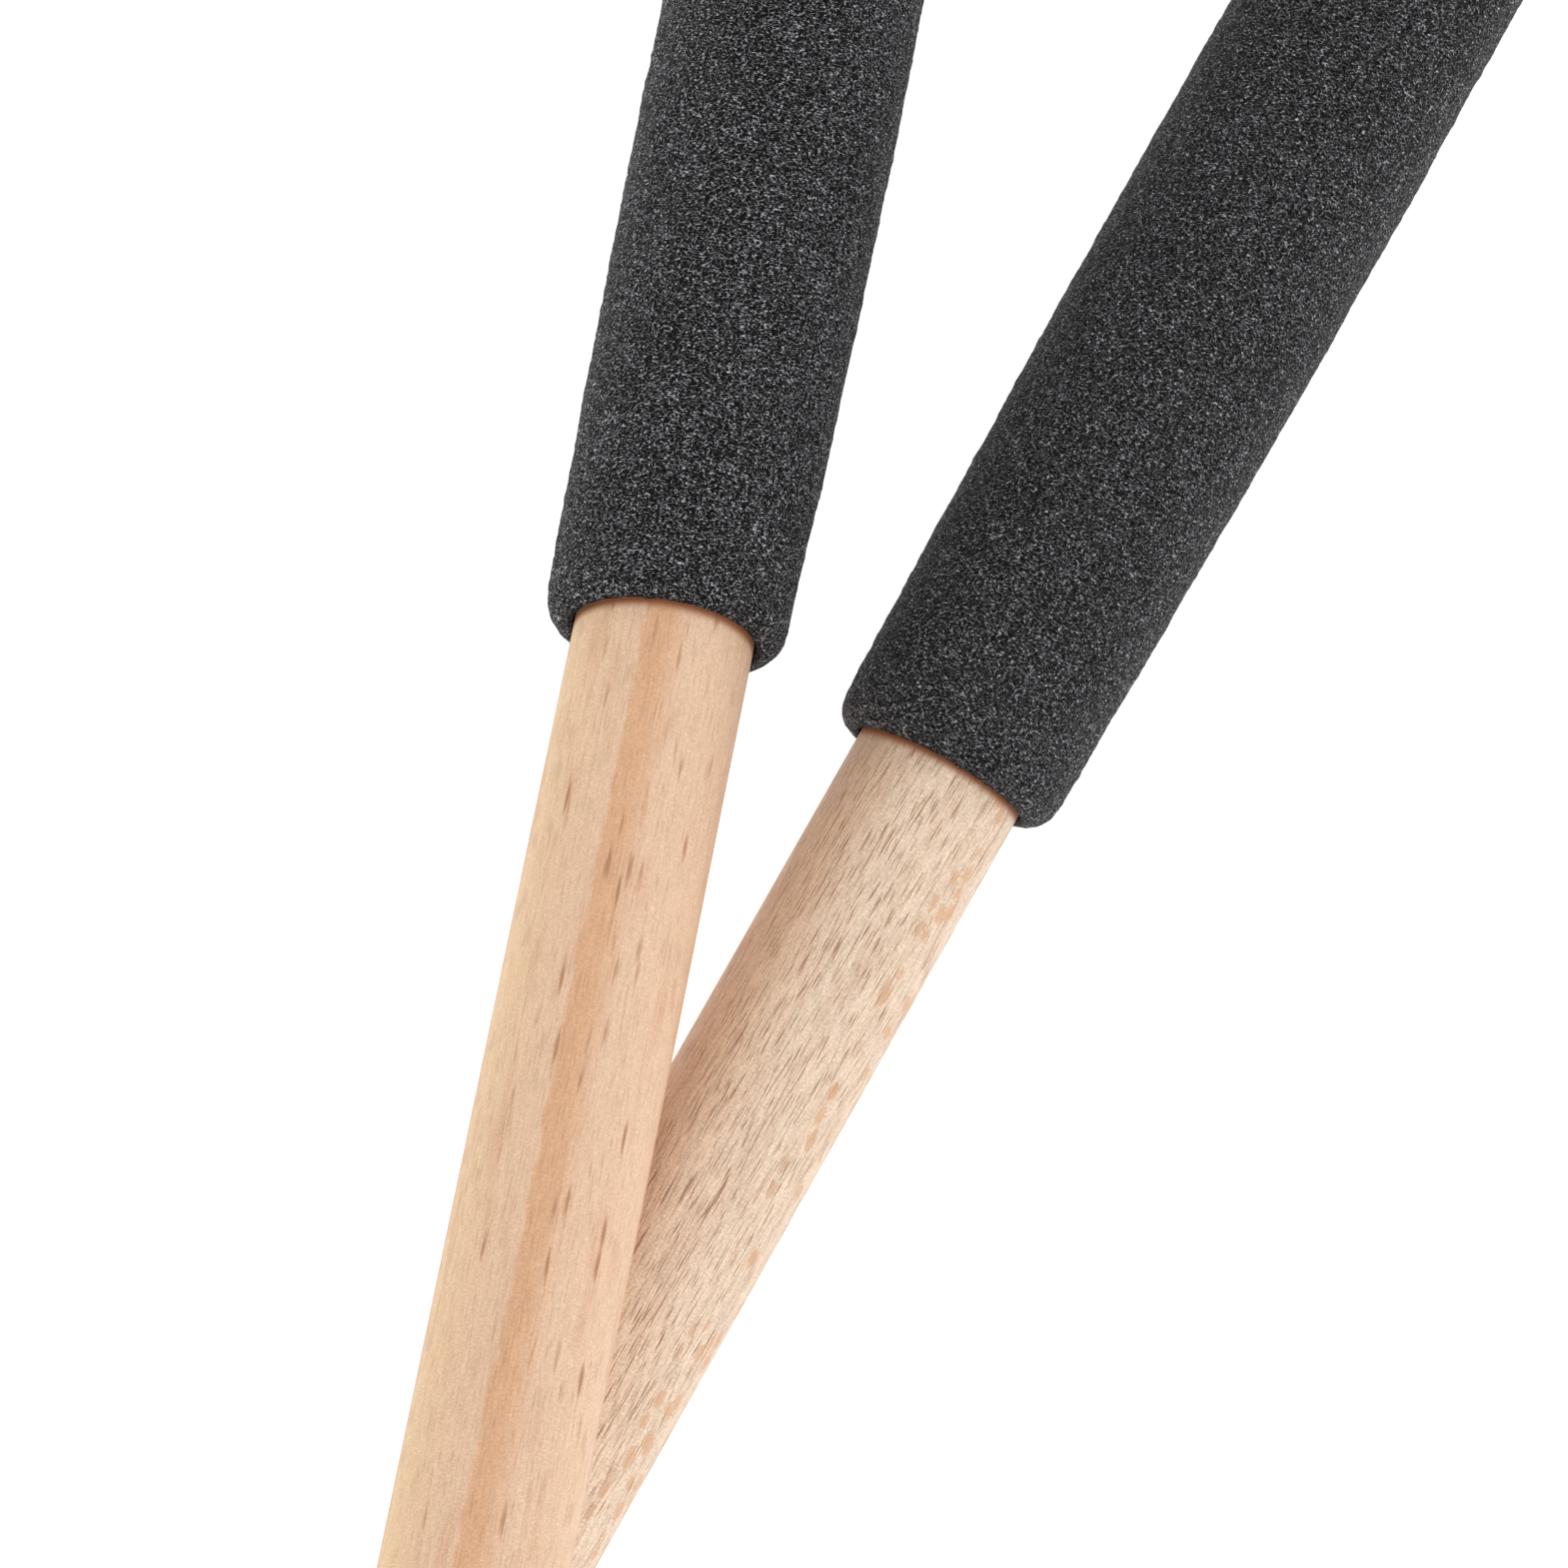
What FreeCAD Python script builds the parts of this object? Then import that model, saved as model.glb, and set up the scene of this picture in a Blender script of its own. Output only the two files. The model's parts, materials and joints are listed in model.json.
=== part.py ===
"""A pair of claves: two turned beech sticks, each with a foam sleeve on its handle end.

The sticks lie as they are put down on a table. The lower one rests on its sleeve and its tip.
The upper one rests on the butt end of its sleeve and lies across the lower one near the tips.
Each stick is drawn along +X, from its butt at x = 0, then tilted, turned and lifted into place.
Frame: +Z up, table at Z = 0, tips towards +X, origin under the middle of the pair's box.
"""
import FreeCAD
import Part
import math
import os

# ---- driving dimensions, in millimetres ----
shaft_length = 250.0
shaft_diameter = 16.0
butt_round = 3.0  # fillet round the flat butt end
tip_round = 3.0  # fillet round the flat tip, which is what strikes and rests

grip_length = 131.0
grip_setback = 3.0  # bare wood that shows behind the sleeve, at the butt
grip_end_wall = 2.7  # foam thickness at the sleeve's two ends, before the lips are rounded
grip_middle_wall = 3.7  # the sleeve swells gently towards its middle
grip_lip_round = 2.0  # fillet on the outer edge of each sleeve end
grip_stretch_fit = 0.0  # radial gap between sleeve and shaft: none, the sleeve is stretched on

lower_tip_past_crossing = 35.0  # how far each tip reaches beyond where the sticks cross
upper_tip_past_crossing = 33.4
mouth_gap = 4.8  # clear space between the front ends of the two sleeves, seen from above
rest_gap = 0.10  # kept between the two shafts where the upper one lies on the lower

# ---- worked out from the driving dimensions ----
shaft_radius = shaft_diameter / 2
bore_radius = shaft_radius + grip_stretch_fit
grip_end_radius = bore_radius + grip_end_wall
grip_middle_radius = bore_radius + grip_middle_wall
grip_middle_x = grip_setback + grip_length / 2
grip_front_x = grip_setback + grip_length

lower_crossing_x = shaft_length - lower_tip_past_crossing
upper_crossing_x = shaft_length - upper_tip_past_crossing
mouth_to_crossing = min(lower_crossing_x, upper_crossing_x) - grip_front_x
spread_angle = 2 * math.asin((2 * grip_end_radius + mouth_gap) / (2 * mouth_to_crossing))

# the swelling outline of the sleeve is one long arc, centred on the far side of the axis
swell = grip_middle_radius - grip_end_radius
barrel_radius = ((grip_length / 2) ** 2 + swell**2) / (2 * swell)
barrel_centre_y = grip_middle_radius - barrel_radius

# each lip is a small arc that meets the end face and the barrel arc without a corner
lip_reach = barrel_radius - grip_lip_round
lip_offset_x = grip_length / 2 - grip_lip_round
lip_centre_y = barrel_centre_y + math.sqrt(lip_reach**2 - lip_offset_x**2)
lip_slope = math.asin(lip_offset_x / lip_reach)  # slope of the barrel arc where a lip begins


def point(x, y):
    """A point of a stick's half section: x along the stick, y out from its axis."""
    return FreeCAD.Vector(x, y, 0)


def arc_between(centre, radius, start_angle, end_angle):
    """An arc of the half section, with its angles in radians."""
    angles = (start_angle, (start_angle + end_angle) / 2, end_angle)
    marks = [centre + point(radius * math.cos(a), radius * math.sin(a)) for a in angles]
    return Part.Arc(*marks).toShape()


def line_between(start, end):
    return Part.LineSegment(start, end).toShape()


def turned(edges):
    """The solid that a closed half section makes when it is turned about the stick's axis."""
    face = Part.Face(Part.Wire(edges))
    return face.revolve(FreeCAD.Vector(0, 0, 0), FreeCAD.Vector(1, 0, 0), 360)


def shaft():
    """A round stick with a flat disc and a fillet at each end."""
    butt_centre = point(butt_round, shaft_radius - butt_round)
    tip_centre = point(shaft_length - tip_round, shaft_radius - tip_round)
    butt_arc = arc_between(butt_centre, butt_round, math.pi, math.pi / 2)
    tip_arc = arc_between(tip_centre, tip_round, math.pi / 2, 0)
    return turned([
        line_between(point(0, 0), point(0, butt_centre.y)),
        butt_arc,
        line_between(point(butt_round, shaft_radius), point(tip_centre.x, shaft_radius)),
        tip_arc,
        line_between(point(shaft_length, tip_centre.y), point(shaft_length, 0)),
        line_between(point(shaft_length, 0), point(0, 0)),
    ])


def grip():
    """A foam sleeve: straight bore, gently swollen outside, rounded lips."""
    barrel_centre = point(grip_middle_x, barrel_centre_y)
    back_centre = point(grip_middle_x - lip_offset_x, lip_centre_y)
    front_centre = point(grip_middle_x + lip_offset_x, lip_centre_y)
    back_turn = math.pi / 2 + lip_slope
    front_turn = math.pi / 2 - lip_slope
    return turned([
        line_between(point(grip_setback, bore_radius), point(grip_setback, lip_centre_y)),
        arc_between(back_centre, grip_lip_round, math.pi, back_turn),
        arc_between(barrel_centre, barrel_radius, back_turn, front_turn),
        arc_between(front_centre, grip_lip_round, front_turn, 0),
        line_between(point(grip_front_x, lip_centre_y), point(grip_front_x, bore_radius)),
        line_between(point(grip_front_x, bore_radius), point(grip_setback, bore_radius)),
    ])


def dip_onto_tip(centre_x, centre_y, radius):
    """How far a stick dips when it lies on a round of its sleeve and on its tip's fillet.

    The table is the common tangent under the two circles.
    """
    run = shaft_length - tip_round - centre_x
    rise = (shaft_radius - tip_round) - centre_y
    return math.atan2(run, rise) - math.acos((radius - tip_round) / math.hypot(run, rise))


def lower_rest():
    """How the lower stick lies: its dip towards the tip and its axis height at the crossing."""
    dip = dip_onto_tip(grip_middle_x + lip_offset_x, lip_centre_y, grip_lip_round)
    if dip < lip_slope:  # the barrel arc bulges below the front lip, so it is what rests
        dip = dip_onto_tip(grip_middle_x, barrel_centre_y, barrel_radius)
    past_crossing = lower_tip_past_crossing - tip_round
    height = tip_round + (shaft_radius - tip_round) * math.cos(dip) + past_crossing * math.sin(dip)
    return dip, height


def upper_rest(lower_dip, lower_height):
    """How the upper stick lies: its climb towards the tip and its axis height at the crossing.

    Its sleeve's back lip is on the table and its shaft is on the lower shaft. The height that the
    crossing needs depends a little on the climb, so the two are settled by repetition.
    """
    reach = upper_crossing_x - (grip_setback + grip_lip_round)
    lower_line = FreeCAD.Vector(math.cos(lower_dip), 0, -math.sin(lower_dip))
    climb = 0.0
    for _ in range(20):
        level = math.cos(climb)
        upper_line = FreeCAD.Vector(
            level * math.cos(spread_angle), level * math.sin(spread_angle), math.sin(climb)
        )
        across = lower_line.cross(upper_line)
        step = (shaft_diameter + rest_gap) * across.Length / abs(across.z)
        height = lower_height + step
        lift = height - grip_lip_round
        climb = math.atan2(reach, lip_centre_y) - math.acos(lift / math.hypot(reach, lip_centre_y))
    return climb, height


def laid(shape, crossing_x, climb, turn, height):
    """A stick's piece put where it lies, with the crossing above the origin; angles in radians."""
    piece = shape.copy()
    piece.translate(FreeCAD.Vector(-crossing_x, 0, 0))
    piece.rotate(FreeCAD.Vector(0, 0, 0), FreeCAD.Vector(0, 1, 0), -math.degrees(climb))
    piece.rotate(FreeCAD.Vector(0, 0, 0), FreeCAD.Vector(0, 0, 1), math.degrees(turn))
    piece.translate(FreeCAD.Vector(0, 0, height))
    return piece


lower_dip, lower_height = lower_rest()
upper_climb, upper_height = upper_rest(lower_dip, lower_height)

lower_place = (lower_crossing_x, -lower_dip, -spread_angle / 2, lower_height)
upper_place = (upper_crossing_x, upper_climb, spread_angle / 2, upper_height)
pieces = {
    "lower_shaft": laid(shaft(), *lower_place),
    "lower_grip": laid(grip(), *lower_place),
    "upper_shaft": laid(shaft(), *upper_place),
    "upper_grip": laid(grip(), *upper_place),
}

whole = Part.Compound(list(pieces.values())).optimalBoundingBox(False)
to_origin = FreeCAD.Vector(-whole.Center.x, -whole.Center.y, 0)

os.makedirs("parts", exist_ok=True)
for node, piece in pieces.items():
    piece.translate(to_origin)
    piece.exportStep("parts/" + node + ".step")
    print(node, "volume", round(piece.Volume), "mm3, valid", piece.isValid())
print("lower stick dips", round(math.degrees(lower_dip), 2), "degrees towards its tip")
print("upper stick climbs", round(math.degrees(upper_climb), 2), "degrees towards its tip")
print("crossing at X", round(to_origin.x, 2), "Y", round(to_origin.y, 2))
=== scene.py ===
import bpy
import json
import math
from mathutils import Matrix, Vector


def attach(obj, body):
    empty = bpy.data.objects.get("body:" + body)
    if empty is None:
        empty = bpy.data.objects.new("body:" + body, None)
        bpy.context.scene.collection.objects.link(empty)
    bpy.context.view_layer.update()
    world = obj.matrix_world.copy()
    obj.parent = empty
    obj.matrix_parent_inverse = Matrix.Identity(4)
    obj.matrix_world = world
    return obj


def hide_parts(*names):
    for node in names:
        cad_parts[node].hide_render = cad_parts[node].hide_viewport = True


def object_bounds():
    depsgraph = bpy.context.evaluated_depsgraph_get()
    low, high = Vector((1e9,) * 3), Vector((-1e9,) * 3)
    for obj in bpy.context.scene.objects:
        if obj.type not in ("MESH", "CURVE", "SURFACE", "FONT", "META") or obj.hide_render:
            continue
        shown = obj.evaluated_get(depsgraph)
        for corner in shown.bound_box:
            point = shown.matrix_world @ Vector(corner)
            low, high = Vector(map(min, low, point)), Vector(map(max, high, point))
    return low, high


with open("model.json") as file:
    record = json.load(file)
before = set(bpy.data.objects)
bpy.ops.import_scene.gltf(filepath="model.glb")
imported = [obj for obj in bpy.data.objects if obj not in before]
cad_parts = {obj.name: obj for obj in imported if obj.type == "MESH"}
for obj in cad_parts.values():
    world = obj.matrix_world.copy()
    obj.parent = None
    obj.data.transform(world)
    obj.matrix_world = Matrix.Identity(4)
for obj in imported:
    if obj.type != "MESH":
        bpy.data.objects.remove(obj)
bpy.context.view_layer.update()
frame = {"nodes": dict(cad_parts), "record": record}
print("frame loaded:", sorted(frame["nodes"]))

mmPerMetre = 1000  # pieces are in metres, and their patterns in millimetres


def stickPlace(stick):
    # a stick's own frame: x from butt to tip, y level, z up, origin on the butt's flat disc
    discs = {mount["name"]: Vector(mount["pos_m"]) for mount in frame["record"]["mounts"]}
    butt = discs[stick + "_butt_face"]
    along = (discs[stick + "_tip_face"] - butt).normalized()
    level = Vector((0, 0, 1)).cross(along).normalized()
    turn = Matrix((along, level, along.cross(level))).transposed()
    return Matrix.Translation(butt) @ turn.to_4x4()


sticks = {stick: stickPlace(stick) for stick in ("lower", "upper")}


def axisDistance(point):
    return math.hypot(point.y, point.z)


def reach(points):
    # the lowest and highest x of some points
    return min(p.x for p in points), max(p.x for p in points)


def measure(stick, part):
    # where a CAD node starts and ends along its stick, and its radii
    toStick = sticks[stick].inverted()
    points = [toStick @ v.co for v in frame["nodes"][stick + "_" + part].data.vertices]
    back, front = reach(points)
    return {
        "back": back,
        "front": front,
        "middleRadius": max(axisDistance(p) for p in points),
        "bore": min(axisDistance(p) for p in points),
    }


def pick(piece, kind, wanted):
    # in edit mode, selects only the faces or edges that pass the test
    bpy.ops.mesh.select_mode(type=kind)
    bpy.ops.mesh.select_all(action="DESELECT")
    bpy.ops.object.mode_set(mode="OBJECT")
    points = [v.co for v in piece.data.vertices]
    for item in piece.data.polygons if kind == "FACE" else piece.data.edges:
        item.select = wanted([points[i] for i in item.vertices])
    bpy.ops.object.mode_set(mode="EDIT")


def applyModifier(piece, kind, settings):
    modifier = piece.modifiers.new(kind.lower(), kind)
    for name, value in settings.items():
        setattr(modifier, name, value)
    bpy.ops.object.modifier_apply(modifier=modifier.name)


class Wire:
    # one output socket of a material under construction; arithmetic on it adds Math nodes
    def __init__(self, finish, socket):
        self.finish = finish
        self.socket = socket

    def also(self, name):
        # another output of the same node
        return Wire(self.finish, self.socket.node.outputs[name])

    def __add__(self, other):
        return self.finish.maths("ADD", self, other)

    def __sub__(self, other):
        return self.finish.maths("SUBTRACT", self, other)

    def __rsub__(self, other):
        return self.finish.maths("SUBTRACT", other, self)

    def __mul__(self, other):
        return self.finish.maths("MULTIPLY", self, other)

    def __truediv__(self, other):
        return self.finish.maths("DIVIDE", self, other)

    def __rtruediv__(self, other):
        return self.finish.maths("DIVIDE", other, self)

    __radd__ = __add__
    __rmul__ = __mul__


class Finish:
    # a material under construction, or the sky
    def __init__(self, name, kind="materials"):
        self.holder = getattr(bpy.data, kind).new(name)
        self.holder.use_nodes = True
        self.tree = self.holder.node_tree
        self.tree.nodes.clear()

    def add(self, kind, settings=None, inputs=None, out=0):
        node = self.tree.nodes.new(kind)
        for name, value in (settings or {}).items():
            if name == "stops":
                self.setStops(node.color_ramp, value)
            else:
                setattr(node, name, value)
        for key, value in (inputs or {}).items():
            socket = self.findSocket(node.inputs, key)
            if isinstance(value, Wire):
                self.tree.links.new(value.socket, socket)
            else:
                socket.default_value = value
        return Wire(self, self.findSocket(node.outputs, out)) if node.outputs else None

    def findSocket(self, sockets, key):
        # by number, identifier or name, because a Mix node repeats its names
        if isinstance(key, int):
            return sockets[key]
        named = [socket for socket in sockets if socket.identifier == key]
        return named[0] if named else sockets[key]

    def setStops(self, ramp, stops):
        while len(ramp.elements) < len(stops):
            ramp.elements.new(0.5)
        for element, (position, colour) in zip(ramp.elements, stops):
            element.position = position
            element.color = colour

    def maths(self, operation, *values):
        return self.add("ShaderNodeMath", {"operation": operation}, dict(enumerate(values)))

    def fromAxis(self, across, upward):
        return self.maths("SQRT", across * across + upward * upward)

    def blend(self, factor, first, second, mode="MIX"):
        settings = {"data_type": "RGBA", "blend_type": mode}
        inputs = {"Factor_Float": factor, "A_Color": first, "B_Color": second}
        return self.add("ShaderNodeMix", settings, inputs, "Result_Color")

    def shade(self, colour, value):
        # makes a colour lighter or darker by a value round 1
        return self.blend(1.0, colour, self.combine(value, value, value), "MULTIPLY")

    def combine(self, x, y, z):
        return self.add("ShaderNodeCombineXYZ", None, {"X": x, "Y": y, "Z": z})

    def split(self, place):
        x = self.add("ShaderNodeSeparateXYZ", None, {"Vector": place})
        return x, x.also("Y"), x.also("Z")

    def noise(self, place, detail, roughness, scale=1.0):
        inputs = {"Vector": place, "Scale": scale, "Detail": detail, "Roughness": roughness}
        return self.add("ShaderNodeTexNoise", None, inputs, "Fac")

    def cells(self, place):
        return self.add("ShaderNodeTexVoronoi", None, {"Vector": place, "Scale": 1.0}, "Distance")

    def soften(self, value, low, high, bottom=0.0, top=1.0):
        inputs = {0: value, 1: low, 2: high, 3: bottom, 4: top}
        return self.add("ShaderNodeMapRange", {"interpolation_type": "SMOOTHSTEP"}, inputs)

    def stickMillimetres(self, stick, roll=0.0):
        # object coordinates in a stick's own frame, in millimetres, rolled about its axis
        place = sticks[stick] @ Matrix.Rotation(math.radians(roll), 4, "X")
        inputs = {
            "Vector": self.add("ShaderNodeTexCoord", None, None, "Object"),
            "Location": place.to_translation(),
            "Rotation": place.to_euler(),
            "Scale": [1 / mmPerMetre] * 3,
        }
        return self.add("ShaderNodeMapping", {"vector_type": "TEXTURE"}, inputs)

    def relief(self, height, strength, depth):
        inputs = {"Strength": strength, "Distance": depth, "Height": height}
        return self.add("ShaderNodeBump", None, inputs)

    def surface(self, inputs):
        shader = self.add("ShaderNodeBsdfPrincipled", None, inputs)
        self.add("ShaderNodeOutputMaterial", None, {"Surface": shader})
        return self.holder


def tone(red, green, blue):
    # a display colour, 0 to 255, as the linear colour that a shader takes
    display = [value / 255 for value in (red, green, blue)]
    return (*[((value + 0.055) / 1.055) ** 2.4 for value in display], 1.0)


upperBeech = {
    "ringRoll": 43,  # how far the rings' outer side leans to the left, in degrees
    "rayRoll": -8,  # the same for the rays
    "pithDepth": 46,  # how far the tree's centre was below the stick's axis, in mm
    "ringWidth": 5.5,
    "ringEdge": 6.9,  # one ring ends this far above the axis
    "ringWander": 0.35,
    "ringSeed": 20.0,  # which rings are strong
    "firstSideTone": tone(241, 204, 160),
    "secondSideTone": tone(236, 199, 167),
    "turns": (-5.0, 5.0),  # where the one tone turns into the other, in mm to the side of the axis
    "late": tone(226, 174, 133),  # the warm band at the end of a ring
    "lateStrength": 1.0,
    "flush": tone(212, 156, 120),  # soft warm clouds
    "flushStrength": 0.35,
    "ray": tone(180, 128, 92),
    "fleck": tone(222, 184, 150),
    "rayKeep": 0.28,  # from 0 for every ray to 1 for none
    "rayWidth": 0.85,
    "fleckKeep": 0.45,
    "rayStrength": 0.95,
    "vessel": tone(166, 116, 78),
    "vesselStrength": 0.34,
    "vesselFrom": 0.58,
    "fibre": 0.34,
    "speck": 0.40,
    "sheen": 0.12,
    "seed": 3.0,
}
lowerBeech = {
    "ringRoll": 25,
    "rayRoll": 12,
    "pithDepth": 38,
    "ringWidth": 2.8,
    "ringEdge": 1.0,
    "ringWander": 0.5,
    "ringSeed": 9.0,
    # painted shade and painted light: on this stick the first side tone is much darker and the second
    # much lighter, as if lit from one side
    "firstSideTone": tone(203, 169, 139),
    "secondSideTone": tone(238, 213, 188),
    "turns": (-8.0, 5.0),
    "late": tone(206, 168, 140),
    "lateStrength": 0.3,
    "flush": tone(196, 150, 124),
    "flushStrength": 0.2,
    "ray": tone(138, 92, 64),
    "fleck": tone(218, 168, 126),
    "rayKeep": 0.64,
    "rayWidth": 0.42,
    "fleckKeep": 0.20,
    "rayStrength": 0.88,
    "vessel": tone(152, 104, 68),
    "vesselStrength": 0.78,
    "vesselFrom": 0.55,
    "fibre": 0.70,
    "speck": 0.66,
    "sheen": 0.12,
    "seed": 11.0,
}
beechNoise = {  # length along the stick and width across it, in mm, then detail and roughness
    "drift": (60, 30, 1, 0.5),  # the rings' slow wander
    "ripple": (3.5, 2.5, 2, 0.5),  # the unevenness of their edges
    "cloud": (9, 1.9, 1, 0.5),
    "fibre": (3.0, 0.13, 2, 0.6),
    "scratch": (0.13, 0.42, 1, 0.5),  # the marks of sanding, which run round the stick
    "speck": (0.25, 0.20, 1, 0.5),
    "hair": (2.6, 0.13, 1, 0.5),  # the vessels
    "crowd": (22, 2.6, 1, 0.5),  # where there are more of them
}
beechShared = {  # what both sticks share; lengths in mm, noise from 0 to 1
    "seedStep": 37,  # how far along the grain one seed is from the next
    "rippleDepth": 0.7,
    "lateComes": (0.46, 0.84),  # the part of a ring over which its warm band comes in
    "lateGoes": (0.95, 1.0),
    "cloudEdge": (0.52, 0.78),
    "brightness": 0.97,
    "scratchEdge": (0.50, 0.74),
    "scratchGain": 0.13,
    "crowding": 0.10,
    "vesselEdge": 0.14,
    "radialFrom": (6.1, 7.0),  # how far to the side dashes turn into flecks
    "dashSize": (7.0, 2.2),  # along the stick and out from the pith
    "dashFrayed": 0.5,  # how uneven the fibres make a dash's edge
    "dashEdge": (0.06, 0.30),
    "dashFade": 0.25,  # how many of the rays that are kept are faint
    "fleckSize": (2.8, 2.6, 1.0),
    "fleckFrayed": 0.3,
    "fleckEdge": (0.24, 0.44),
    "fleckStrength": 0.8,
    "endReach": 1.6,  # how deep the darker end grain goes
    "endDark": 0.11,
    "endDots": 0.25,
    "roughness": 0.52,
    "fibreRoughness": 0.16,
    "vesselRoughness": 0.10,
    "specular": 0.35,
    "sheenRoughness": 0.3,
    "fibreHeight": 0.5,
    "vesselHeight": -0.6,
    "rayHeight": -0.5,
    "reliefStrength": 0.5,
    "reliefDepth": 0.00004,  # in metres
}
mouth = {
    "cut": {"upper": (5.0, -2.3), "lower": (0.0, 0.0)},  # degrees out of square, about y and z
    # painted shadow: the brown shade painted on the wood where it goes into the sleeve
    "paintedShadow": tone(162, 100, 62),
    "shadowReach": 1.2,  # how far the painted shadow reaches onto the wood beyond its sleeve, in mm
}


def beech(name, stick, look):
    finish = Finish(name)
    shared = beechShared
    trueAlong, side, rise = finish.split(finish.stickMillimetres(stick, look["ringRoll"]))
    along = trueAlong + look["seed"] * shared["seedStep"]

    def grain(kind):
        length, width, detail, roughness = beechNoise[kind]
        place = finish.combine(along / length, side / width, rise / width)
        return finish.noise(place, detail, roughness)

    # the wood is warmer on one side; on the lower stick one side is also painted much darker and the
    # other lighter, painted shade and painted light from one side over the wood's own tone; and some
    # growth rings end in a warm band with a sharp edge
    drift = grain("drift")
    ripple = grain("ripple")
    radius = finish.fromAxis(side, rise + look["pithDepth"])
    radius = radius + (drift - 0.5) * (look["ringWander"] * 2)
    radius = radius + (ripple - 0.5) * shared["rippleDepth"]
    colour = finish.blend(finish.soften(side, *look["turns"]), look["firstSideTone"], look["secondSideTone"])
    ring = (radius - look["pithDepth"] - look["ringEdge"]) / look["ringWidth"]
    phase = finish.maths("FRACT", ring)
    number = finish.maths("FLOOR", ring) + look["ringSeed"]
    strength = finish.add("ShaderNodeTexWhiteNoise", {"noise_dimensions": "1D"}, {"W": number})
    late = finish.soften(phase, *shared["lateComes"])
    late = late * finish.soften(phase, *shared["lateGoes"], 1.0, 0.0)
    colour = finish.blend(late * strength * look["lateStrength"], colour, look["late"])
    cloud = finish.soften(grain("cloud"), *shared["cloudEdge"])
    colour = finish.blend(cloud * look["flushStrength"], colour, look["flush"])

    # fibres that run with the stick, the light marks that sanding leaves round it, and a fine grain
    fibre = grain("fibre")
    scratch = finish.soften(grain("scratch"), *shared["scratchEdge"])
    speck = grain("speck")
    value = shared["brightness"] + (fibre - 0.5) * look["fibre"]
    value = value + scratch * shared["scratchGain"] + (speck - 0.5) * look["speck"]
    colour = finish.shade(colour, value)

    # vessels: fine short lines, more or less of them from place to place
    hair = grain("hair") + (grain("crowd") - 0.5) * shared["crowding"]
    hair = finish.soften(hair, look["vesselFrom"], look["vesselFrom"] + shared["vesselEdge"])
    colour = finish.blend(hair * look["vesselStrength"], colour, look["vessel"])

    # rays: thin upright ribbons that run out from the pith, dashes on one face and flecks on another
    _, raySide, rayRise = finish.split(finish.stickMillimetres(stick, look["rayRoll"]))
    rayHeight = rayRise + look["pithDepth"]
    out = finish.fromAxis(raySide, rayHeight)
    around = finish.maths("ARCTAN2", raySide, rayHeight) * look["pithDepth"]
    radial = finish.soften(finish.maths("ABSOLUTE", raySide), *shared["radialFrom"])

    length, depth = shared["dashSize"]
    dashCell = finish.cells(finish.combine(along / length, out / depth, around / look["rayWidth"]))
    dash = dashCell + (fibre - 0.5) * shared["dashFrayed"]
    dash = finish.soften(dash, *shared["dashEdge"], 1.0, 0.0) * (1 - radial)
    keep = look["rayKeep"]
    dash = dash * finish.soften(dashCell.also("Color"), keep, keep + shared["dashFade"])

    length, depth, width = shared["fleckSize"]
    fleckCell = finish.cells(finish.combine(along / length, out / depth, around / width))
    fleck = fleckCell + (speck - 0.5) * shared["fleckFrayed"]
    fleck = finish.soften(fleck, *shared["fleckEdge"], shared["fleckStrength"], 0.0) * radial
    fleck = fleck * finish.maths("GREATER_THAN", fleckCell.also("Color"), look["fleckKeep"])

    ray = dash + fleck
    rayTone = finish.blend(radial, look["ray"], look["fleck"])
    colour = finish.blend(ray * look["rayStrength"], colour, rayTone)

    # end grain is darker, and its cut vessels are dots
    def distance(end):
        return finish.maths("ABSOLUTE", trueAlong - end)

    shaft = measure(stick, "shaft")
    for end in (shaft["back"] * mmPerMetre, shaft["front"] * mmPerMetre):
        near = finish.soften(distance(end), 0.0, shared["endReach"], 1.0, 0.0)
        colour = finish.shade(colour, 1 - near * (shared["endDark"] + hair * shared["endDots"]))

    # painted shadow: a line of brown shade on the wood at each end of the sleeve, where the wood goes
    # into the foam
    grip = measure(stick, "grip")
    _, level, upward = finish.split(finish.stickMillimetres(stick))
    lean, slant = [math.tan(math.radians(degrees)) for degrees in mouth["cut"][stick]]
    front = grip["front"] * mmPerMetre + level * slant - upward * lean
    for end in (grip["back"] * mmPerMetre, front):
        paintedShadow = finish.soften(distance(end), 0.0, mouth["shadowReach"], 1.0, 0.0)
        colour = finish.blend(paintedShadow * paintedShadow, colour, mouth["paintedShadow"])

    height = fibre * shared["fibreHeight"] + hair * shared["vesselHeight"] + ray * shared["rayHeight"]
    rough = shared["roughness"] + (fibre - 0.5) * shared["fibreRoughness"]
    return finish.surface({
        "Base Color": colour,
        "Roughness": rough + hair * shared["vesselRoughness"],
        "Normal": finish.relief(height, shared["reliefStrength"], shared["reliefDepth"]),
        "Specular IOR Level": shared["specular"],
        "Sheen Weight": look["sheen"],
        "Sheen Roughness": shared["sheenRoughness"],
    })


for stick, look in (("upper", upperBeech), ("lower", lowerBeech)):
    shaft = frame["nodes"][stick + "_shaft"]
    shaft.data.materials.clear()
    shaft.data.materials.append(beech(stick + "Beech", stick, look))
print("beech on the two shafts")


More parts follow.
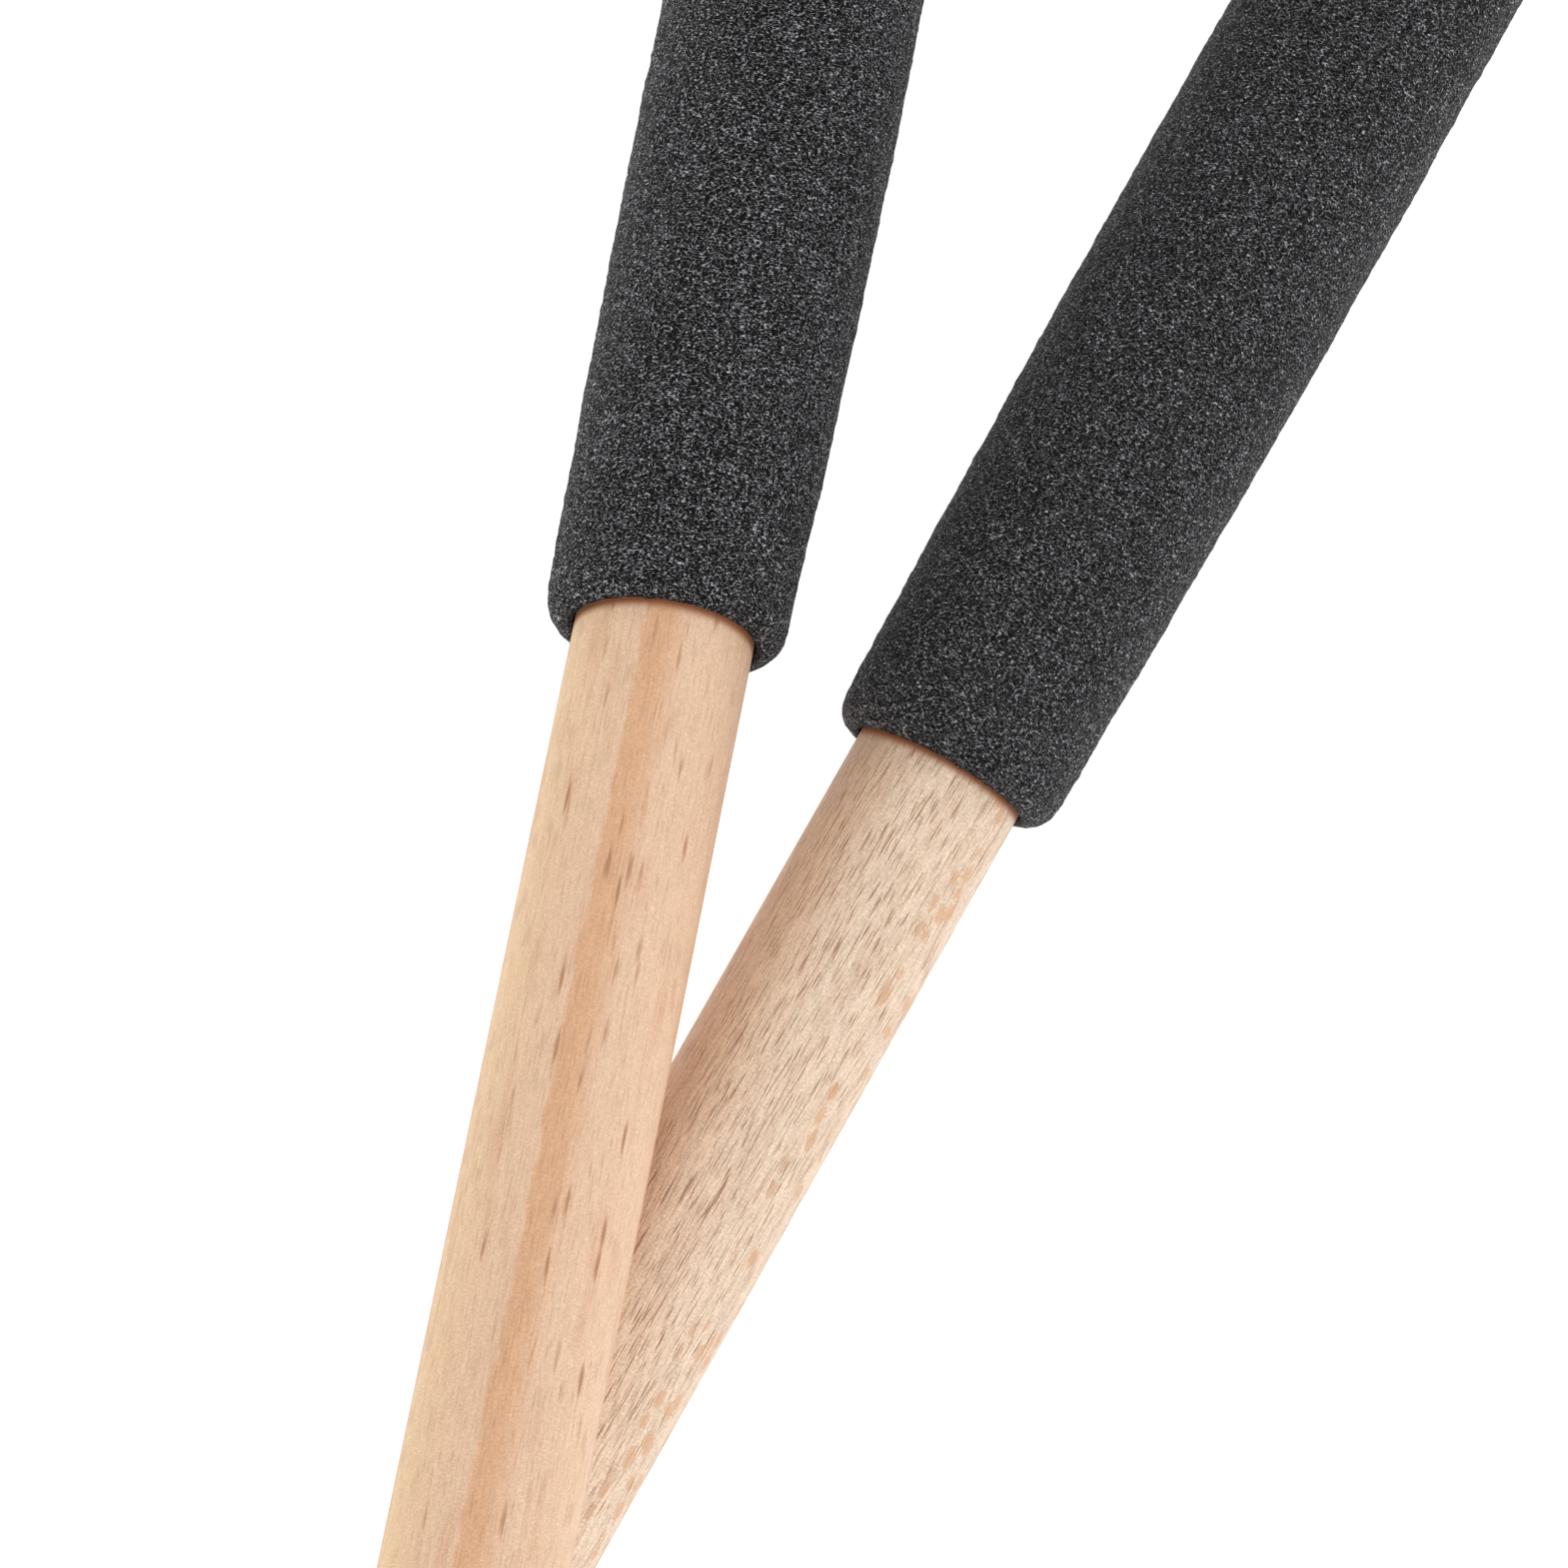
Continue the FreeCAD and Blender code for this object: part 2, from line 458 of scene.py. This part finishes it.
foamFinish = {
    "greysWithPaintedLight": [(0.46, 3), (0.58, 35), (0.74, 67), (0.90, 104), (1.00, 195)],  # pits to raised threads, with painted shade in the pits and painted glints on the threads
    "blue": 1.03,  # how much bluer than grey it is
    "contrast": {"upper": 1.0, "lower": 0.82},
    "contrastMiddle": 0.72,  # the height that a change of contrast leaves as it is
    "squeeze": 1.45,  # the cells are this much shorter along the stick than round it
    "wormsPerMm": 2.3,
    "wormWidth": 0.075,
    "wormHeight": 0.45,
    "grainsPerMm": 3.3,
    "driftsPerMm": 0.09,
    "driftHeight": 0.05,
    "reliefDepth": 0.00014,  # in metres
    "roughnessEdge": (0.45, 0.95),
    "roughness": (0.85, 0.50),  # of the pits below those heights and of the threads above them
    "specular": 0.12,
    "sheen": 0.03,
    "sheenRoughness": 0.5,
    "mouthPaintedShade": 0.25,  # painted shade: how bright the foam is painted where it meets the wood
    "mouthReach": 1.4,  # and over how many mm that painted shade fades out
}


def foam(name, stick):
    finish = Finish(name)
    look = foamFinish
    place = finish.stickMillimetres(stick)
    stretch = (look["squeeze"], 1, 1)
    squeezed = finish.add("ShaderNodeVectorMath", {"operation": "MULTIPLY"}, {0: place, 1: stretch})

    # torn cell walls: thin winding ridges, broken by a finer grain, with dark pits between; the ramp
    # paints shade into the pits and glints onto the raised threads, over the foam's own dark grey
    winding = finish.noise(squeezed, 1, 0.5, look["wormsPerMm"])
    worm = finish.soften(finish.maths("ABSOLUTE", winding - 0.5), 0.0, look["wormWidth"], 1.0, 0.0)
    grain = finish.noise(squeezed, 2, 0.6, look["grainsPerMm"])
    drift = finish.noise(place, 2, 0.5, look["driftsPerMm"])
    height = worm * look["wormHeight"] + grain + (drift - 0.5) * look["driftHeight"]
    middle = look["contrastMiddle"]
    height = middle + (height - middle) * look["contrast"][stick]
    stops = [(level, tone(grey, grey, grey * look["blue"])) for level, grey in look["greysWithPaintedLight"]]
    colour = finish.add("ShaderNodeValToRGB", {"stops": stops}, {"Fac": height})

    # painted shade round the bore, because no light gets in where the sleeve grips the wood
    _, across, upward = finish.split(place)
    bore = measure(stick, "grip")["bore"] * mmPerMetre
    light = (bore, bore + look["mouthReach"], look["mouthPaintedShade"], 1.0)
    colour = finish.shade(colour, finish.soften(finish.fromAxis(across, upward), *light))
    return finish.surface({
        "Base Color": colour,
        "Roughness": finish.soften(height, *look["roughnessEdge"], *look["roughness"]),
        "Normal": finish.relief(height, 1.0, look["reliefDepth"]),
        "Specular IOR Level": look["specular"],
        "Sheen Weight": look["sheen"],
        "Sheen Roughness": look["sheenRoughness"],
    })


sleeve = {  # lengths in metres
    "around": 28,  # faces round the tube before it is smoothed
    "cuts": 41,  # rings along the tube before it is smoothed
    "smoothing": 3,
    "swell": 0.0010,  # how much the tube grows from its ends to its middle
    "lipRound": (0.0021, 3),  # size and number of faces
    "boreRound": (0.0005, 2),
    "cutReach": 0.012,  # how far back the tube follows the slant of its mouth
    "dents": [(0.0090, 0.00030), (0.0030, 0.00012), (0.0008, 0.00026)],  # size and depth
    "skinFrom": 1.04,  # the dents leave the bore alone, up to this share of its radius
}


def foamSleeve(stick):
    size = measure(stick, "grip")
    middle = (size["back"] + size["front"]) / 2
    length = size["front"] - size["back"]
    shrink = (2 + math.cos(2 * math.pi / sleeve["around"])) / 3  # smoothing shrinks a ring this much
    endRadius = (size["middleRadius"] - sleeve["swell"]) / shrink
    bore = size["bore"] / shrink
    halfWall = (endRadius + bore) / 2
    near = 0.0004  # how close counts as being there
    lipRound, lipFaces = sleeve["lipRound"]
    boreRound, boreFaces = sleeve["boreRound"]

    bpy.ops.object.select_all(action="DESELECT")
    bpy.ops.mesh.primitive_cylinder_add(
        vertices=sleeve["around"], radius=endRadius, depth=length,
        location=(middle, 0, 0), rotation=(0, math.pi / 2, 0),
    )
    piece = bpy.context.active_object
    piece.name = stick + "FoamSleeve"
    bpy.ops.object.transform_apply(location=True, rotation=True, scale=True)

    # the bore: both end discs are inset by the wall and joined through the tube
    def isShort(points):
        low, high = reach(points)
        return high - low < length / 2

    bpy.ops.object.mode_set(mode="EDIT")
    pick(piece, "FACE", lambda points: isShort(points) and len(points) > 4)
    bpy.ops.mesh.inset(thickness=endRadius * math.cos(math.pi / sleeve["around"]) - bore, depth=0)
    bpy.ops.mesh.bridge_edge_loops()

    # round the lips outside and the edges of the bore inside
    def isRim(points, radius):
        return isShort(points) and all(abs(axisDistance(p) - radius) < near for p in points)

    pick(piece, "EDGE", lambda points: isRim(points, endRadius))
    bpy.ops.mesh.bevel(offset=lipRound, segments=lipFaces, affect="EDGES")
    pick(piece, "EDGE", lambda points: isRim(points, bore))
    bpy.ops.mesh.bevel(offset=boreRound, segments=boreFaces, affect="EDGES")

    # rings along the outside, then the swell, strongest in the middle
    pick(piece, "EDGE", lambda points: not isShort(points) and axisDistance(points[0]) > halfWall)
    bpy.ops.mesh.subdivide(number_cuts=sleeve["cuts"])
    pick(piece, "FACE", lambda points: all(axisDistance(p) < halfWall for p in points))
    bpy.ops.mesh.hide()
    pick(piece, "EDGE", lambda points: all(abs(p.x - middle) < near for p in points))
    growth = 1 + sleeve["swell"] / endRadius
    bpy.ops.transform.resize(
        value=(1, growth, growth), center_override=(middle, 0, 0), use_proportional_edit=True,
        proportional_edit_falloff="INVERSE_SQUARE", proportional_size=length / 2,
    )
    bpy.ops.mesh.reveal(select=False)

    # the front end isn't cut quite square
    lipStart = size["front"] - lipRound * 1.1
    pick(piece, "FACE", lambda points: reach(points)[0] > lipStart)
    for axis, degrees in zip("YZ", mouth["cut"][stick]):
        bpy.ops.transform.rotate(
            value=math.radians(degrees), orient_axis=axis, center_override=(size["front"], 0, 0),
            use_proportional_edit=True, proportional_edit_falloff="SMOOTH",
            proportional_size=sleeve["cutReach"],
        )
    bpy.ops.mesh.select_all(action="SELECT")
    bpy.ops.mesh.normals_make_consistent(inside=False)
    bpy.ops.object.mode_set(mode="OBJECT")

    # smooth it, lay it on its stick, then press the foam's unevenness into its skin
    levels = sleeve["smoothing"]
    applyModifier(piece, "SUBSURF", {"levels": levels, "render_levels": levels})
    piece.matrix_world = sticks[stick]
    bpy.ops.object.transform_apply(location=True, rotation=True, scale=True)
    toStick = sticks[stick].inverted()
    skin = piece.vertex_groups.new(name="skin")
    skinRadius = bore * sleeve["skinFrom"]
    outside = [v.index for v in piece.data.vertices if axisDistance(toStick @ v.co) > skinRadius]
    skin.add(outside, 1.0, "REPLACE")
    for dent, (spread, depth) in enumerate(sleeve["dents"]):
        texture = bpy.data.textures.new(stick + "Dent" + str(dent), "CLOUDS")
        texture.noise_scale = spread
        applyModifier(piece, "DISPLACE", {
            "texture": texture,
            "strength": depth,
            "vertex_group": "skin",
            "direction": "NORMAL",
        })
    bpy.ops.object.shade_smooth()
    piece.data.materials.append(foam(stick + "Foam", stick))
    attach(piece, stick + "_stick")
    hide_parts(stick + "_grip")
    print(piece.name, len(piece.data.polygons), "faces")


for stick in sticks:
    foamSleeve(stick)


studio = {
    "floorSize": 6.0,
    "floorTone": (0.35, 0.35, 0.35, 1),
    "floorRoughness": 0.9,
    "floorGlow": 0.90,
    "white": (1, 1, 1, 1),  # of the floor's glow and of the sky
    "skyStrength": 0.78,
    "horizonStrength": 1.05,  # brighter low down, so that the floor has no edge
    "horizonTop": (0.15, 0.30),  # where that starts to fade and ends, as the sine of the angle
    "keyPower": 1.3,
    "keySize": 0.5,
    "keyPlace": (-0.05, 0.38, 0.75),
}
view = {
    "azimuth": math.radians(109.94),
    "elevation": math.radians(76.72),
    "distance": 0.5335,
    "lens": 137.8,
    "aim": (0.0151, 0.0006, 0.012),  # from the middle of the pair's box, at table height
    "nearest": 0.01,
}


def aimAt(piece, target):
    piece.rotation_euler = (target - piece.location).to_track_quat("-Z", "Y").to_euler()


low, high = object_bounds()
ground = Vector(((low[0] + high[0]) / 2, (low[1] + high[1]) / 2, 0))
bpy.ops.object.select_all(action="DESELECT")
bpy.ops.mesh.primitive_plane_add(size=studio["floorSize"], location=(0, 0, 0))
floor = bpy.context.active_object
floor.name = "studioFloor"
floor.data.materials.append(Finish("studioPaper").surface({
    "Base Color": studio["floorTone"],
    "Roughness": studio["floorRoughness"],
    "Emission Color": studio["white"],
    "Emission Strength": studio["floorGlow"],
}))

sky = Finish("studioSky", "worlds")
_, _, upward = sky.split(sky.add("ShaderNodeTexCoord", None, None, "Generated"))
horizonFrom, horizonTo = studio["horizonTop"]
fade = sky.add("ShaderNodeMapRange", None, {
    0: upward,
    1: horizonFrom,
    2: horizonTo,
    3: studio["horizonStrength"],
    4: studio["skyStrength"],
})
backdrop = sky.add("ShaderNodeBackground", None, {"Color": studio["white"], "Strength": fade})
sky.add("ShaderNodeOutputWorld", None, {"Surface": backdrop})
bpy.context.scene.world = sky.holder

bpy.ops.object.light_add(type="AREA", location=studio["keyPlace"])
key = bpy.context.active_object
key.data.size = studio["keySize"]
key.data.energy = studio["keyPower"]
aimAt(key, ground)

target = ground + Vector(view["aim"])
flat = math.cos(view["elevation"])
away = Vector((
    math.sin(view["azimuth"]) * flat,
    -math.cos(view["azimuth"]) * flat,
    math.sin(view["elevation"]),
))
bpy.ops.object.camera_add(location=target + away * view["distance"])
camera = bpy.context.active_object
camera.data.lens = view["lens"]
camera.data.clip_start = view["nearest"]
aimAt(camera, target)
bpy.context.scene.camera = camera
bpy.context.scene.view_settings.view_transform = "Standard"
print("floor, light and camera set")
